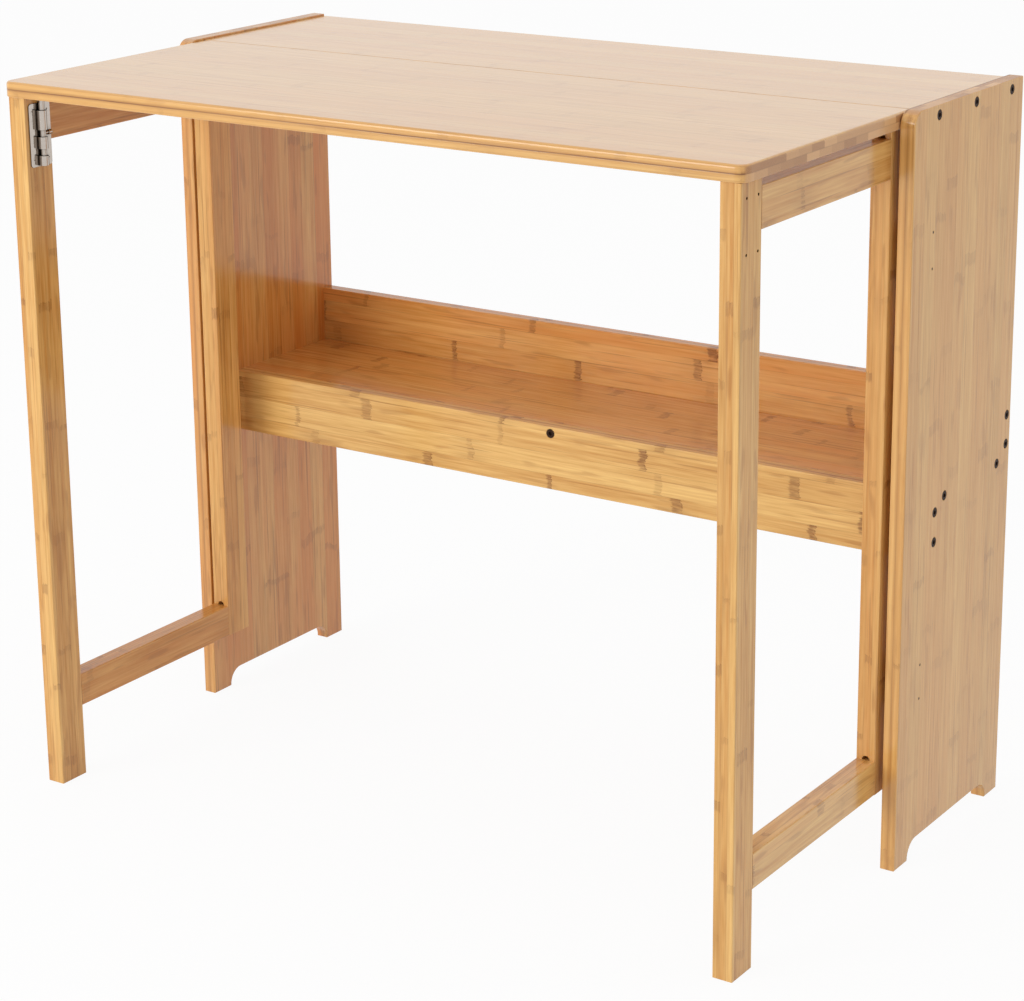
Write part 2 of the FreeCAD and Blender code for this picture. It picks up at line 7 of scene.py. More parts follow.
import bpy
import numpy as np
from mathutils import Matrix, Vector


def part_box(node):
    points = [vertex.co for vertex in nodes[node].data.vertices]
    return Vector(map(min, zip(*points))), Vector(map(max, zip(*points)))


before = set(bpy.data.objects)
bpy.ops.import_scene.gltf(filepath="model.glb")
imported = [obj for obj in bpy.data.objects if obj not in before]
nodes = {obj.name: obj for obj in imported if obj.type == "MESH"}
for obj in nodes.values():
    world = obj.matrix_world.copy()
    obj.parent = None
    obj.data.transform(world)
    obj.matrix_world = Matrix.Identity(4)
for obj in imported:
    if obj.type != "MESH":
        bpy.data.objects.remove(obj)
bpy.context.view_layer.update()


# Side panels: flat bamboo strips about 22 mm wide, pressed in two layers into a 15 mm board and
# varnished with a clear semi-gloss coat. The strips stand upright, and each shows its growth
# knuckles as ragged bands with a smoky tail.

class Wiring:
    """Adds shader nodes to a tree and links them by plain calls."""

    def __init__(self, tree):
        self.tree = tree

    def feed(self, value, socket):
        """Links another node's output to an input, or sets the input to a plain value."""
        if isinstance(value, bpy.types.NodeSocket):
            self.tree.links.new(value, socket)
        else:
            socket.default_value = value

    def add(self, kind, inputs, **settings):
        """A node with its settings, and its inputs, by name or index, fed with values or sockets."""
        node = self.tree.nodes.new(kind)
        for name, value in settings.items():
            setattr(node, name, value)
        for key, value in inputs.items():
            self.feed(value, node.inputs[key])
        return node

    def math(self, operation, a, b=0.0):
        return self.add("ShaderNodeMath", {0: a, 1: b}, operation=operation).outputs[0]

    def times(self, *values):
        """The product of several values."""
        return functools.reduce(functools.partial(self.math, "MULTIPLY"), values)

    def most(self, *values):
        """The largest of several values."""
        return functools.reduce(functools.partial(self.math, "MAXIMUM"), values)

    def line(self, value, gain, start=0.0, clamp=False):
        """The value times a gain, plus a start."""
        made = self.add("ShaderNodeMath", {0: value, 1: gain, 2: start}, operation="MULTIPLY_ADD",
                        use_clamp=clamp)
        return made.outputs[0]

    def vary(self, *parts):
        """The sum of each value's departure from one half, times its gain."""
        total = -sum(gain for _, gain in parts) / 2
        for value, gain in parts:
            total = self.line(value, gain, total)
        return total

    def fade(self, value, full, gone):
        """1 on the full side of the value, 0 past gone, smooth between."""
        made = self.add("ShaderNodeMapRange", {"Value": value, "From Min": full, "From Max": gone,
                                               "To Min": 1.0, "To Max": 0.0},
                        interpolation_type="SMOOTHSTEP")
        return made.outputs["Result"]

    def vector(self, operation, a, b=(0.0, 0.0, 0.0)):
        return self.add("ShaderNodeVectorMath", {0: a, 1: b}, operation=operation).outputs[0]

    def split(self, vector):
        return self.add("ShaderNodeSeparateXYZ", {0: vector}).outputs

    def join(self, x, y, z):
        return self.add("ShaderNodeCombineXYZ", {0: x, 1: y, 2: z}).outputs[0]

    def noise(self, vector, detail=2.0, roughness=0.55):
        """Soft noise from 0 to 1 whose grain is one unit of the vector."""
        made = self.add("ShaderNodeTexNoise", {"Vector": vector, "Scale": 1.0, "Detail": detail,
                                               "Roughness": roughness}, noise_dimensions="3D")
        return made.outputs["Fac"]

    def grain(self, place, per_metre, detail=2.0):
        """Noise with so many grains to a metre along each axis."""
        return self.noise(self.vector("MULTIPLY", place, per_metre), detail)

    def random(self, x, y, z):
        """Three numbers from 0 to 1 that stay the same for equal x, y and z."""
        made = self.add("ShaderNodeTexWhiteNoise", {"Vector": self.join(x, y, z)},
                        noise_dimensions="3D")
        return self.split(made.outputs["Color"])

    def mix(self, factor, a, b):
        """Colours a and b mixed by a factor."""
        return self.add("ShaderNodeMix", {0: factor, 6: a, 7: b}, data_type="RGBA").outputs[2]


def tint(red, green, blue):
    """A colour given in display values from 0 to 255, as linear light."""
    shares = [value / 255 for value in (red, green, blue)]
    light = [((s + 0.055) / 1.055) ** 2.4 if s > 0.04045 else s / 12.92 for s in shares]
    return (*light, 1.0)


# What sets one board apart: strip and layer sizes in metres, its tone, the strength of its tone
# changes, ruddy strips, knuckles, glue lines and dark cane wall, how far a knuckle wanders, and
# the widths of a painted seam shade along the board's low edge across the strips, of dark butted
# ends and of painted shade along the inside of an end. Tone and ruddy blush are also set darker
# and redder on boards that stand in shade and paler on lit ones, as painted shade and painted light.
BOARD_LOOK = {"strip_width": 0.0225, "layer": 0.0081, "tone": 0.5, "figure": 1.0, "ruddy": 0.25,
              "knuckles": 1.0, "wander": 0.010, "strip_line": 0.4, "layer_line": 0.15,
              "cane_wall": 0.75, "sawn_edge": 0.0, "butted_end": 0.0, "end_joint": 0.0}

# How far layers are staggered and sanded and the grain slips from strip to strip, in metres, the
# share of a strip cut off at a board's first edge and of a layer that counts as its outer face,
# and offsets that keep the random draws apart
LAYER_STAGGER = 0.0137
LAYER_SANDED = 0.0006
GRAIN_SLIP = 3.0
FIRST_STRIP_CUT = 0.31
OUTER_SHARE = 0.2
STRIP_DRAW = 0.5
LAYER_DRAW = 7.5

# Grains to a metre along the strip, across it and through the board
FIBRES = (19.0, 520.0, 520.0)
STREAKS = (2.4, 210.0, 210.0)
CLOUDS = (6.0, 38.0, 38.0)


def strip_places(w, given):
    """Where a point lies among the strips and layers, with the chances and grain of its strip."""
    at = SimpleNamespace()
    at.along, at.across, at.through = w.split(given["along"])
    at.layer_place = w.math("DIVIDE", w.math("ADD", at.through, LAYER_SANDED), given["layer"])
    at.layer = w.math("FLOOR", at.layer_place)
    staggered = w.line(at.layer, LAYER_STAGGER, at.across)
    at.strip_place = w.math("ADD", w.math("DIVIDE", staggered, given["strip_width"]), FIRST_STRIP_CUT)
    at.strip = w.math("FLOOR", at.strip_place)
    at.chance = w.random(w.math("ADD", at.strip, STRIP_DRAW), w.math("ADD", at.layer, LAYER_DRAW),
                         given["seed"])
    slip = w.join(w.line(at.chance[2], GRAIN_SLIP), given["seed"], 0.0)
    at.drift = w.vector("ADD", given["along"], slip)
    at.fibre = w.grain(at.drift, FIBRES)
    at.streak = w.grain(at.drift, STREAKS)
    at.cloud = w.grain(at.drift, CLOUDS)
    at.to_face = w.times(w.math("PINGPONG", at.layer_place, 0.5), given["layer"])
    past_first = w.math("GREATER_THAN", at.layer_place, OUTER_SHARE)
    last = w.math("SUBTRACT", given["layers"], OUTER_SHARE)
    at.inside = w.times(past_first, w.math("LESS_THAN", at.layer_place, last))
    return at


# The cane's colours, what each kind of change adds to the tone and to the ruddy blush, the limits
# and strength of veins and smudges, and how the dense outer wall fades, in metres, and streaks
STRIP_PALE = tint(243, 203, 128)
STRIP_DARK = tint(196, 138, 66)
STRIP_RUDDY = tint(210, 121, 42)
VEIN_SHADE = tint(160, 100, 44)
STRIP_GAIN = 0.32
STREAK_GAIN = 1.1
CLOUD_GAIN = 0.75
FIBRE_GAIN = 1.15
BLUSH_STRIP_GAIN = 0.35
BLUSH_START = -0.175
VEINS = (5.0, 340.0, 340.0)
VEIN_LIMITS = (0.30, 0.37)
VEIN_STRENGTH = 0.5
SMUDGES = (17.0, 110.0, 110.0)
SMUDGE_LIMITS = (0.29, 0.40)
SMUDGE_STRENGTH = 0.34
WALL_FADE = (0.0003, 0.0034)
WALL_STREAKS = (1.8, -0.4)


def strip_colour(w, given, at):
    """The cane: a tone for every strip, with fibres, streaks, clouds, veins and smudges along it."""
    lift = w.vary((at.chance[0], STRIP_GAIN), (at.streak, STREAK_GAIN), (at.cloud, CLOUD_GAIN),
                  (at.fibre, FIBRE_GAIN))
    tone = w.line(lift, given["figure"], given["tone"], clamp=True)
    colour = w.mix(tone, STRIP_DARK, STRIP_PALE)
    blush = w.line(at.chance[1], BLUSH_STRIP_GAIN, w.math("ADD", at.cloud, BLUSH_START), clamp=True)
    colour = w.mix(w.times(blush, given["ruddy"]), colour, STRIP_RUDDY)
    vein = w.fade(w.grain(at.drift, VEINS, detail=1.0), *VEIN_LIMITS)
    smudge = w.fade(w.grain(at.drift, SMUDGES, detail=1.0), *SMUDGE_LIMITS)
    stain = w.most(w.line(vein, VEIN_STRENGTH), w.line(smudge, SMUDGE_STRENGTH))
    colour = w.mix(w.times(stain, given["figure"]), colour, VEIN_SHADE)

    # The outer wall of the cane is denser, and it faces the glue between two layers
    wall = w.times(w.fade(at.to_face, *WALL_FADE), w.line(at.streak, *WALL_STREAKS, clamp=True),
                   at.inside, given["cane_wall"])
    return w.mix(wall, colour, VEIN_SHADE)


# Growth knuckles, in metres along the strip: their pitch, the half width of the band, how far it
# frays, and where its body, its rims and its smoke fade, from full to gone. The other pairs are a
# gain and a start.
KNUCKLE_SHADE = tint(124, 70, 28)
KNUCKLE_PITCH_LEAST = 0.12
KNUCKLE_PITCH_SPREAD = 0.13
KNUCKLE_SLIP = 9.0
LUCK_LAYER_STEP = 3.7
RIPPLES = (0.0, 75.0, 75.0)
RIPPLE_KNUCKLE_STEP = 5.3
RIPPLE_STRIP_STEP = 3.1
FRAYS = (90.0, 650.0, 650.0)
FRAY_REACH = 0.008
HALF_BAND_LEAST = 0.0020
HALF_BAND_SPREAD = 0.0040
MOTTLES = (70.0, 450.0, 450.0)
MOTTLE_CONTRAST = (3.2, -1.0)
BAND_FADE = (-0.0016, 0.0012)
BAND_MOTTLE = (0.50, 0.24)
RIM_FADE = (0.0002, 0.0013)
FAR_RIM_FADE = (0.0002, 0.0011)
FAR_RIM_STRENGTH = 0.35
RIM_MOTTLE = (0.75, 0.25)
MARK_LUCK = (0.75, 0.30)
SMOKE_REACH = 0.034
SMOKE_STREAKS = (2.2, -0.75)
SMOKE_STRENGTH = 0.5


def knuckle_marks(w, given, at):
    """A rippled band across the strip with darker rims and a tail of smoke.

    Gives how dark a point is marked, and how near it is to the knuckle.
    """
    pitch = w.line(at.chance[0], KNUCKLE_PITCH_SPREAD, KNUCKLE_PITCH_LEAST)
    run = w.math("ADD", w.math("DIVIDE", at.along, pitch), w.line(at.chance[2], KNUCKLE_SLIP))
    knuckle = w.math("FLOOR", run)
    luck = w.random(knuckle, at.strip, w.line(at.layer, LUCK_LAYER_STEP, given["seed"]))
    offset = w.times(w.math("SUBTRACT", w.math("FRACT", run), 0.5), pitch)

    # The band's own line across the strip
    ripple_start = w.line(knuckle, RIPPLE_KNUCKLE_STEP, w.line(at.strip, RIPPLE_STRIP_STEP))
    rippled = w.vector("MULTIPLY", given["along"], RIPPLES)
    ripple = w.noise(w.vector("ADD", rippled, w.join(ripple_start, 0.0, given["seed"])), detail=1.0)
    bend = w.times(w.math("SUBTRACT", ripple, 0.5), given["wander"])
    fray = w.line(w.grain(at.drift, FRAYS, detail=1.0), FRAY_REACH, -FRAY_REACH / 2)
    place = w.math("ADD", w.math("ADD", offset, bend), fray)

    # The band, its rims and the smoke beside it
    half_band = w.line(luck[1], HALF_BAND_SPREAD, HALF_BAND_LEAST)
    mottle = w.line(w.grain(at.drift, MOTTLES), *MOTTLE_CONTRAST, clamp=True)
    depth = w.math("SUBTRACT", w.math("ABSOLUTE", place), half_band)
    band = w.times(w.fade(depth, *BAND_FADE), w.line(mottle, *BAND_MOTTLE))
    rim = w.fade(w.math("ABSOLUTE", w.math("SUBTRACT", place, half_band)), *RIM_FADE)
    far_rim = w.fade(w.math("ABSOLUTE", w.math("ADD", place, half_band)), *FAR_RIM_FADE)
    edge = w.times(w.most(rim, w.line(far_rim, FAR_RIM_STRENGTH)), w.line(mottle, *RIM_MOTTLE))
    mark = w.times(w.most(band, edge), w.line(luck[0], *MARK_LUCK))
    near = w.fade(w.math("ABSOLUTE", offset), 0.0, SMOKE_REACH)
    smoke = w.times(near, w.line(at.streak, *SMOKE_STREAKS, clamp=True))
    mark = w.most(mark, w.times(smoke, w.line(luck[2], SMOKE_STRENGTH)))
    return w.math("MINIMUM", w.times(mark, given["knuckles"]), 1.0), near


# Sawn ends: the colours of the blocks and their pores, and what block and pores add to the tone
END_PALE = tint(224, 174, 120)
END_DARK = tint(172, 120, 76)
END_SEED_STEP = 11.0
BLOCK_GAIN = 0.9
PORES = (0.0, 1100.0, 1100.0)
PORE_TONE = (0.7, -0.3)


def end_colour(w, given, at):
    """A sawn end, where each strip is a block of pores."""
    block = w.random(w.math("ADD", at.strip, STRIP_DRAW), w.math("ADD", at.layer, STRIP_DRAW),
                     w.math("ADD", given["seed"], END_SEED_STEP))
    pore = w.grain(given["along"], PORES, detail=1.0)
    tone = w.line(block[0], BLOCK_GAIN, w.line(pore, *PORE_TONE), clamp=True)
    return w.mix(tone, END_DARK, END_PALE)


# Glue: its shade, how a line fades beside the joint, in metres, where lines break off, and how
# strong they are by a knuckle, between layers, on a seam edge and at a joint. The seam edge and
# the inner side of an end take the same dark colour as painted shade of the gaps beside them.
GLUE_AND_GAP_SHADE = tint(112, 64, 22)
LINE_BREAKS = (13.0, 60.0, 60.0)
BREAK_LIMITS = (0.60, 0.46)
SIDE_LINE_FADE = (0.00006, 0.0004)
KNUCKLE_LINE = 0.55
FACE_LINE_FADE = (0.0002, 0.0009)
FACE_LINE_BREAKS = (0.4, 0.6)
END_LINE_LOSS = 0.7
SEAM_SHADE_BREAKS = (0.30, 0.10)
JOINT_AND_GAP_SHADE_STRENGTH = 0.6


def glue_lines_and_gap_shade(w, given, at, near_knuckle):
    """How much glue and painted gap shade shows: lines between strips come and go, those between
    layers run through.
    """
    broken = w.fade(w.grain(at.drift, LINE_BREAKS, detail=1.0), *BREAK_LIMITS)
    to_side = w.times(w.math("PINGPONG", at.strip_place, 0.5), given["strip_width"])
    by_knuckle = w.times(w.line(near_knuckle, KNUCKLE_LINE), given["knuckles"])
    strength = w.most(w.times(broken, given["strip_line"]), by_knuckle)
    side_line = w.times(w.fade(to_side, *SIDE_LINE_FADE), strength)
    between = w.times(w.fade(at.to_face, *FACE_LINE_FADE), at.inside,
                      w.line(given["end"], -END_LINE_LOSS, 1.0))
    face_line = w.times(between, w.times(w.line(broken, *FACE_LINE_BREAKS), given["layer_line"]))
    # Painted shade: a dark band along the board's low edge across the strips, which faces the seam
    in_seam_shade = w.math("LESS_THAN", at.across, given["sawn_edge"])
    sawn = w.times(in_seam_shade, w.line(broken, *SEAM_SHADE_BREAKS))
    to_end = w.math("MINIMUM", at.along, w.math("SUBTRACT", given["length"], at.along))
    butted = w.math("LESS_THAN", to_end, given["butted_end"])
    # Painted shade: a dark band along the inner side of an end, in the gap where it meets the top
    inner = w.times(w.math("LESS_THAN", at.through, given["end_joint"]), given["end"])
    joint = w.line(w.most(butted, inner), JOINT_AND_GAP_SHADE_STRENGTH)
    return w.most(side_line, face_line, sawn, joint)


VARNISH_ROUGHNESS = 0.14
FIBRE_ROUGHNESS = 0.09
MARK_ROUGHNESS = 0.06
END_ROUGHNESS = 0.25
FIBRE_HEIGHT = 0.5


def bamboo_lamination():
    """A node group that colours bamboo strips bricked side by side and in layers.

    Its vector runs in metres along the grain, across the strips and through the layers.
    """
    group = bpy.data.node_groups.new("bamboo_lamination", "ShaderNodeTree")
    sockets = group.interface
    sockets.new_socket("along", in_out="INPUT", socket_type="NodeSocketVector")
    for name in [*BOARD_LOOK, "layers", "length", "seed", "end"]:
        sockets.new_socket(name, in_out="INPUT", socket_type="NodeSocketFloat")
    sockets.new_socket("colour", in_out="OUTPUT", socket_type="NodeSocketColor")
    sockets.new_socket("roughness", in_out="OUTPUT", socket_type="NodeSocketFloat")
    sockets.new_socket("height", in_out="OUTPUT", socket_type="NodeSocketFloat")
    w = Wiring(group)
    given = group.nodes.new("NodeGroupInput").outputs
    at = strip_places(w, given)
    mark, near_knuckle = knuckle_marks(w, given, at)
    # glue carries the glue lines and the painted shade of seams and gaps
    glue = glue_lines_and_gap_shade(w, given, at, near_knuckle)
    colour = w.mix(mark, strip_colour(w, given, at), KNUCKLE_SHADE)
    colour = w.mix(given["end"], colour, end_colour(w, given, at))
    dull = w.line(mark, MARK_ROUGHNESS, w.line(given["end"], END_ROUGHNESS))
    roughness = w.line(at.fibre, FIBRE_ROUGHNESS, w.math("ADD", dull, VARNISH_ROUGHNESS))
    height = w.math("SUBTRACT", w.line(at.fibre, FIBRE_HEIGHT), glue)
    w.add("NodeGroupOutput", {"colour": w.mix(glue, colour, GLUE_AND_GAP_SHADE), "roughness": roughness,
                              "height": height})
    return group


LAMINATION = bamboo_lamination()
VARNISH_IOR = 1.52
RELIEF_STRENGTH = 0.2
RELIEF_DEPTH = 0.0002
END_FACING = (0.9, 0.7)
AXIS_INDEX = {"x": 0, "y": 1, "z": 2}
SEED_STEP = 3.7
board_numbers = itertools.count(1)


def shader_of(material):
    """A material's shader, with its node tree switched on."""
    material.use_nodes = True
    return material.node_tree.nodes["Principled BSDF"]


def dress(node_name, material):
    """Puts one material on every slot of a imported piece."""
    mesh = nodes[node_name].data
    mesh.materials.clear()
    mesh.materials.append(material)


def bamboo_board(node_name, grain, strips, layers, coat=0.0, coat_blur=0.16, gloss=0.5, **changes):
    """Gives a board its own bamboo, with the grain, strips and layers along three axes."""
    material = bpy.data.materials.new("bamboo_" + node_name)
    shader = shader_of(material)
    w = Wiring(material.node_tree)
    low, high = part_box(node_name)
    size = [far - near for near, far in zip(low, high)]
    surface = w.add("ShaderNodeTexCoord", {}).outputs
    from_corner = w.add("ShaderNodeMapping", {"Vector": surface["Object"],
                                              "Location": [-value for value in low]})
    place = w.split(from_corner.outputs[0])
    facing = w.math("ABSOLUTE", w.split(surface["Normal"])[AXIS_INDEX[grain]])
    look = {**BOARD_LOOK, **changes}
    look["layers"] = round(size[AXIS_INDEX[layers]] / look["layer"])
    look["length"] = size[AXIS_INDEX[grain]]
    look["seed"] = SEED_STEP * next(board_numbers)
    look["along"] = w.join(*(place[AXIS_INDEX[axis]] for axis in (grain, strips, layers)))
    look["end"] = w.fade(facing, *END_FACING)
    bamboo = w.add("ShaderNodeGroup", look, node_tree=LAMINATION).outputs
    relief = w.add("ShaderNodeBump", {"Height": bamboo["height"], "Strength": RELIEF_STRENGTH,
                                      "Distance": RELIEF_DEPTH})
    w.feed(bamboo["colour"], shader.inputs["Base Color"])
    w.feed(bamboo["roughness"], shader.inputs["Roughness"])
    w.feed(relief.outputs[0], shader.inputs["Normal"])
    w.feed(VARNISH_IOR, shader.inputs["IOR"])
    w.feed(gloss, shader.inputs["Specular IOR Level"])
    w.feed(coat, shader.inputs["Coat Weight"])
    w.feed(coat_blur, shader.inputs["Coat Roughness"])
    dress(node_name, material)


WIDE_WANDER = 0.016
# The left panel is seen from inside, in the desk's shade, and the right from outside in the light: the
# left gets a lower tone and a strong ruddy blush, the right a paler tone. This is painted shade and
# painted light.
bamboo_board("left_side_panel", "z", "y", "x", coat=0.35, coat_blur=0.08, tone=0.43, figure=1.1,
             ruddy=1.0, knuckles=0.5, wander=WIDE_WANDER, strip_line=0.3)
# On the right panel the inner side of the top end is painted dark, as shade in the joint under the top
bamboo_board("right_side_panel", "z", "y", "x", coat=0.15, tone=0.54, figure=0.72, ruddy=0.4,
             knuckles=0.38, wander=WIDE_WANDER, strip_line=0.2, end_joint=0.0026)


# Table top: the fixed rear strip and the drop leaf are the same two-layer board, cut along the
# seam, with the grain from side to side. The leaf's ends show the sawn blocks of its strips, and
# its front edge the dark line between the layers.

TOP_LOOK = {"coat": 0.3, "figure": 0.48, "ruddy": 0.4, "knuckles": 0.24, "wander": WIDE_WANDER,
            "strip_line": 0.12}
# The fixed top's front edge faces the seam and is painted dark there, as the seam's shade
bamboo_board("fixed_top", "x", "y", "z", sawn_edge=0.0009, butted_end=0.0012, **TOP_LOOK)
bamboo_board("drop_leaf", "x", "y", "z", layer_line=0.9, cane_wall=0.9, **TOP_LOOK)


# Tray shelf: a board between a low front rail and a taller back rail, screwed to the panels.
# The grain runs from side to side on all three.

# The shelf board and back rail stand in shade under the top and get a strong ruddy blush; the lit
# front rail gets a paler tone with little blush. This is painted shade and painted light.
bamboo_board("shelf_board", "x", "y", "z", coat=0.6, coat_blur=0.05, figure=1.2, ruddy=0.8,
             knuckles=0.9, strip_line=0.15)
bamboo_board("shelf_front_rail", "x", "z", "y", gloss=0.4, tone=0.57, figure=0.85, ruddy=0.1)
bamboo_board("shelf_back_rail", "x", "z", "y", gloss=0.25, ruddy=0.8, knuckles=1.2)


# Gate frames: solid laminated posts and rails, three layers thick, joined by tenons in
# routed slots. The posts' grain is upright and the rails' grain runs front to back.

GATE_LOOK = {"strip_width": 0.0185, "layer": 0.0072, "figure": 1.0, "knuckles": 0.65,
             "strip_line": 0.12, "layer_line": 0.08, "cane_wall": 0.2}
# The left gate's rails face into the desk's shade and get a far lower tone than the lit right gate's:
# painted shade and painted light.
RAIL_LOOKS = {"left": {"coat": 0.0, "tone": 0.16, "ruddy": 0.5},
              "right": {"coat": 0.2, "tone": 0.6, "ruddy": 0.4}}
for side, rail_look in RAIL_LOOKS.items():
    bamboo_board(side + "_front_leg", "z", "y", "x", ruddy=0.3, **GATE_LOOK)
    # The rear stiles stand in shade and get a stronger ruddy blush than the front legs: painted shade.
    bamboo_board(side + "_rear_stile", "z", "y", "x", ruddy=0.5, **GATE_LOOK)
    for name in ("_gate_top_rail", "_gate_bottom_rail"):
        bamboo_board(side + name, "y", "z", "x", **rail_look, **GATE_LOOK)


# Connector screws: black-oxide steel with a hexagon socket, set flush in the boards.
# The finish is an even near-black with a faint oily sheen.

METAL_WORN_SHARE = 0.8
METAL_ROUGHNESS_SPREAD = 0.16
METAL_GRAIN_HEIGHT = 0.0001


def metal(name, colour, roughness, grains, grain_strength, metallic=1.0):
    """A metal finish broken up by fine noise, with so many grains to a metre."""
    material = bpy.data.materials.new(name)
    shader = shader_of(material)
    w = Wiring(material.node_tree)
    place = w.add("ShaderNodeTexCoord", {}).outputs["Object"]
    grain = w.grain(place, (grains, grains, grains))
    worn = (*(value * METAL_WORN_SHARE for value in colour[:3]), 1.0)
    relief = w.add("ShaderNodeBump", {"Height": grain, "Strength": grain_strength,
                                      "Distance": METAL_GRAIN_HEIGHT})
    least_roughness = roughness - METAL_ROUGHNESS_SPREAD / 2
    w.feed(w.mix(grain, colour, worn), shader.inputs["Base Color"])
    w.feed(w.line(grain, METAL_ROUGHNESS_SPREAD, least_roughness), shader.inputs["Roughness"])
    w.feed(relief.outputs[0], shader.inputs["Normal"])
    w.feed(metallic, shader.inputs["Metallic"])
    return material


OILY_SHEEN = 0.12
black_oxide = metal("black_oxide", tint(54, 34, 22), roughness=0.45, grains=900.0,
                    grain_strength=0.15, metallic=0.0)
shader_of(black_oxide).inputs["Specular IOR Level"].default_value = OILY_SHEEN
for name in ("left_panel_screws", "right_panel_screws", "shelf_screws"):
    dress(name, black_oxide)


# Butt hinges: zinc-plated steel leaves rolled into knuckles round a pin, two on each gate and
# three under the seam. Their screws have cross recesses, and those in the panels just reach
# the outside, where their tips are painted dark as the shade inside their holes.

SCREW_TIP_SHADE = tint(42, 28, 18)
TIP_LENGTH = 0.004


def darken_tips(material, screws):
    """Paints shade on the last few millimetres of screws that point outwards on either side, where the
    tips sit in their holes.
    """
    w = Wiring(material.node_tree)
    base = shader_of(material).inputs["Base Color"]
    tip_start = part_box(screws)[1][0] - TIP_LENGTH
    place = w.add("ShaderNodeTexCoord", {}).outputs["Object"]
    at_tip = w.math("GREATER_THAN", w.math("ABSOLUTE", w.split(place)[0]), tip_start)
    w.feed(w.mix(at_tip, base.links[0].from_socket, SCREW_TIP_SHADE), base)


ZINC_LOOK = {"colour": tint(196, 196, 192), "roughness": 0.34, "grains": 700.0, "grain_strength": 0.2}
zinc = metal("zinc_plate", **ZINC_LOOK)
for name in nodes:
    if "hinge" in name:
        dress(name, zinc)
zinc_dark_tip = metal("zinc_plate_dark_tip", **ZINC_LOOK)
darken_tips(zinc_dark_tip, "right_gate_hinge_panel_screws")
for side in ("left", "right"):
    dress(side + "_gate_hinge_panel_screws", zinc_dark_tip)


# Barrel bolts: a nickel-plated plate with three pressed housings on each front leg, and a
# rod with a side knob that slides up under the leaf. The plate's screws go through the leg.

NICKEL = tint(204, 194, 184)
NICKEL_EDGE = tint(64, 44, 32)
NICKEL_GRAINS = 500.0
CORNER_SHADE = tint(30, 24, 18)
CORNER_REACH = 0.006
CORNER_SAMPLES = 8
ROUND_AGREEMENT = 0.8
LEVEL = (1.0, 1.0, 0.0)


def nickel_plate(name, roughness, grain_strength):
    """Polished nickel, which mirrors a darker tone where it turns away."""
    material = metal(name, NICKEL, roughness, NICKEL_GRAINS, grain_strength)
    shader_of(material).inputs["Specular Tint"].default_value = NICKEL_EDGE
    return material


def shade_barrel(material, axis):
    """Paints shade into inner corners, and shades walls that stand about an upright axis as one smooth
    round.
    """
    w = Wiring(material.node_tree)
    shader = shader_of(material)
    base = shader.inputs["Base Color"]
    # Painted shade: the colour darkens towards CORNER_SHADE where other surfaces close in within
    # CORNER_REACH
    openness = w.add("ShaderNodeAmbientOcclusion", {"Distance": CORNER_REACH}, samples=CORNER_SAMPLES)
    w.feed(w.mix(openness.outputs["AO"], CORNER_SHADE, base.links[0].from_socket), base)

    # A wall is round where it faces nearly straight away from the axis
    surface = w.add("ShaderNodeTexCoord", {}).outputs
    spoke = w.vector("MULTIPLY", w.vector("SUBTRACT", surface["Object"], (*axis, 0.0)), LEVEL)
    outward = w.vector("NORMALIZE", spoke)
    agreement = w.add("ShaderNodeVectorMath", {0: surface["Normal"], 1: outward},
                      operation="DOT_PRODUCT").outputs["Value"]
    is_round = w.math("GREATER_THAN", agreement, ROUND_AGREEMENT)
    facing = w.add("ShaderNodeMix", {0: is_round, 4: surface["Normal"], 5: outward},
                   data_type="VECTOR")
    turned = w.add("ShaderNodeVectorTransform", {0: facing.outputs[1]}, vector_type="NORMAL",
                   convert_from="OBJECT", convert_to="WORLD")
    relief = shader.inputs["Normal"].links[0].from_node
    w.feed(turned.outputs[0], relief.inputs["Normal"])


nickel_dark_tip = nickel_plate("nickel_plate_dark_tip", roughness=0.10, grain_strength=0.08)
darken_tips(nickel_dark_tip, "right_bolt_screws")
for side in ("left", "right"):
    low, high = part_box(side + "_bolt_rod")
    rod_radius = (high[0] - low[0]) / 2
    nickel = nickel_plate(side + "_nickel_plate", roughness=0.08, grain_strength=0.04)
    shade_barrel(nickel, axis=(low[0] + rod_radius, low[1] + rod_radius))
    dress(side + "_bolt_base", nickel)
    dress(side + "_bolt_rod", nickel)
    dress(side + "_bolt_screws", nickel_dark_tip)


# Studio: a wide white floor that keeps a soft shadow, an even white surround, a large soft
# key lamp at the front left and a gentle lamp above.

WHITE = (1.0, 1.0, 1.0, 1.0)
FLOOR_SIZE = 14.0
FLOOR_STEPS = 5
FLOOR_PAINT = (0.9, 0.9, 0.9, 1.0)
FLOOR_ROUGHNESS = 0.9
FLOOR_GLOW = 0.93


def seen_directly(w):
    """1 for a ray from the camera, a reflection or a clear piece, 0 for stray light."""
    rays = w.add("ShaderNodeLightPath", {}).outputs
    return w.most(rays["Is Camera Ray"], rays["Is Glossy Ray"], rays["Is Transmission Ray"])


def floor_white():
    """Matt white paint that looks plain white and still takes some shadow."""
    material = bpy.data.materials.new("studio_white")
    matte = shader_of(material)
    w = Wiring(material.node_tree)
    w.feed(FLOOR_PAINT, matte.inputs["Base Color"])
    w.feed(FLOOR_ROUGHNESS, matte.inputs["Roughness"])
    glow = w.add("ShaderNodeEmission", {"Color": WHITE, "Strength": 1.0})
    share = w.line(seen_directly(w), FLOOR_GLOW)
    blend = w.add("ShaderNodeMixShader", {0: share, 1: matte.outputs[0], 2: glow.outputs[0]})
    w.feed(blend.outputs[0], material.node_tree.nodes["Material Output"].inputs["Surface"])
    return material


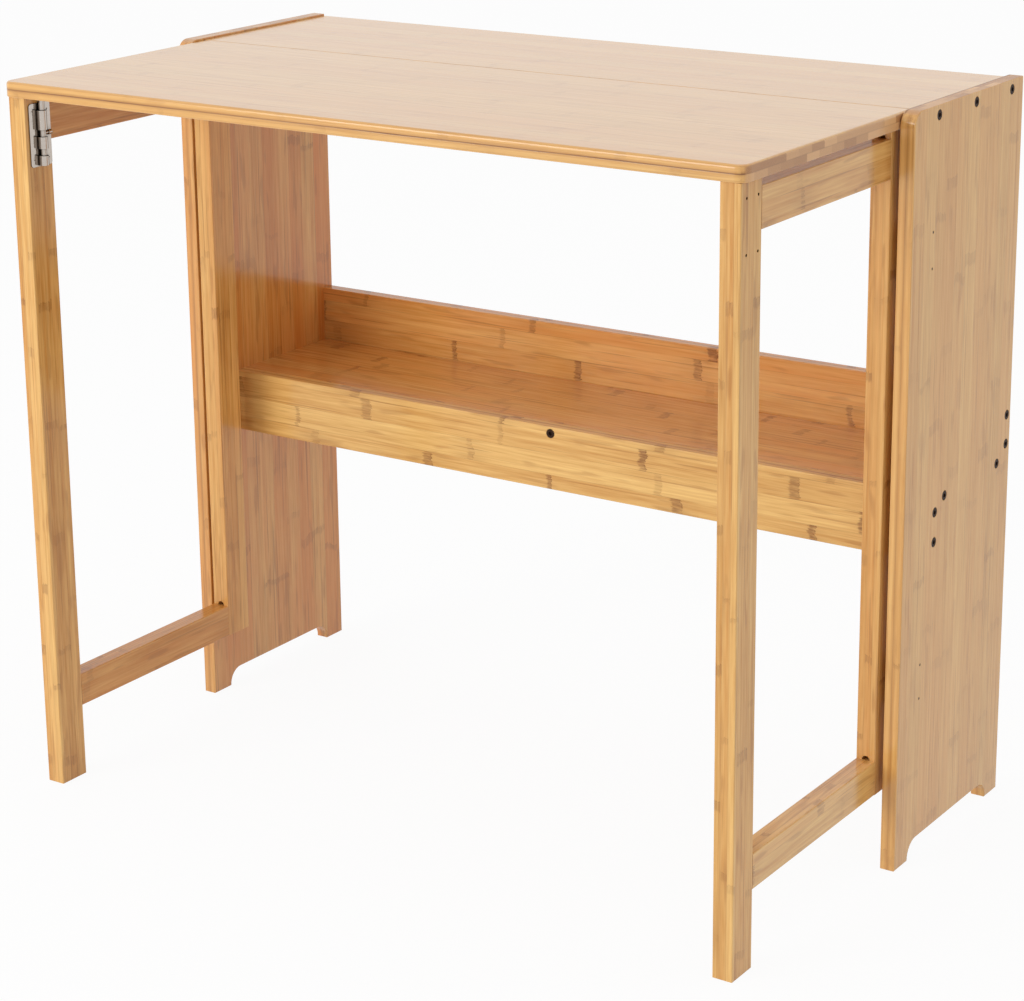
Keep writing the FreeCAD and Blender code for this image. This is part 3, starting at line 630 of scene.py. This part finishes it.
def floor_sheet():
    """A flat square grid, centred under the desk."""
    steps = np.linspace(-FLOOR_SIZE / 2, FLOOR_SIZE / 2, FLOOR_STEPS)
    x, y = np.meshgrid(steps, steps)
    points = np.stack([x.ravel(), y.ravel(), np.zeros(x.size)], axis=1)
    cells = np.arange(FLOOR_STEPS - 1)
    corner = (cells[:, None] * FLOOR_STEPS + cells[None, :]).ravel()
    faces = np.stack([corner, corner + 1, corner + FLOOR_STEPS + 1, corner + FLOOR_STEPS], axis=1)
    mesh = bpy.data.meshes.new("studio_floor")
    mesh.from_pydata(points.tolist(), [], faces.tolist())
    mesh.materials.append(floor_white())
    sheet = bpy.data.objects.new("studio_floor", mesh)
    bpy.context.collection.objects.link(sheet)
    return sheet


floor_sheet()

AMBIENT = 0.70
world = bpy.data.worlds.new("studio")
bpy.context.scene.world = world
world.use_nodes = True
surround = world.node_tree.nodes["Background"].inputs
world_wiring = Wiring(world.node_tree)
world_wiring.feed(WHITE, surround["Color"])
level = world_wiring.line(seen_directly(world_wiring), 1.0 - AMBIENT, AMBIENT)
world_wiring.feed(level, surround["Strength"])


def soft_lamp(name, place, target, size, watts):
    """A square area lamp aimed at a point."""
    lamp = bpy.data.lights.new(name, "AREA")
    lamp.size = size
    lamp.energy = watts
    holder = bpy.data.objects.new(name, lamp)
    bpy.context.collection.objects.link(holder)
    toward = np.array(target) - np.array(place)
    tilt = math.acos(-toward[2] / float(np.linalg.norm(toward)))
    heading = math.atan2(toward[1], toward[0]) - math.pi / 2
    holder.location = place
    holder.rotation_euler = (tilt, 0.0, heading)


soft_lamp("key", place=(-1.2, -2.9, 1.2), target=(0.0, 0.0, 0.4), size=1.8, watts=44.0)
soft_lamp("overhead", place=(0.4, 0.2, 2.8), target=(0.0, 0.0, 0.7), size=1.6, watts=6.0)


# Camera: a long lens to the right of the desk's front and a little above its top, turned and
# dipped towards it, with the lens slid so that the uprights converge less.

FRAME_WIDTH = 1024
FOCAL_PIXELS = 2753.0
SENSOR_WIDTH = 36.0
CAMERA_PLACE = (1.4691, -2.1620, 1.1608)
CAMERA_TURN = 0.5945
CAMERA_DIP = 0.2699
CAMERA_ROLL = -0.0109
LENS_SHIFT_X = 0.001
LENS_SHIFT_Y = -0.1265
camera_data = bpy.data.cameras.new("camera")
camera_data.sensor_width = SENSOR_WIDTH
camera_data.lens = SENSOR_WIDTH * FOCAL_PIXELS / FRAME_WIDTH
camera_data.shift_x = LENS_SHIFT_X
camera_data.shift_y = LENS_SHIFT_Y
camera = bpy.data.objects.new("camera", camera_data)
bpy.context.collection.objects.link(camera)
bpy.context.scene.camera = camera
camera.location = CAMERA_PLACE
camera.rotation_mode = "XYZ"
camera.rotation_euler = (math.pi / 2 - CAMERA_DIP, 0.0, CAMERA_TURN)
camera.rotation_euler.rotate_axis("Z", CAMERA_ROLL)
bpy.context.scene.view_settings.view_transform = "Standard"
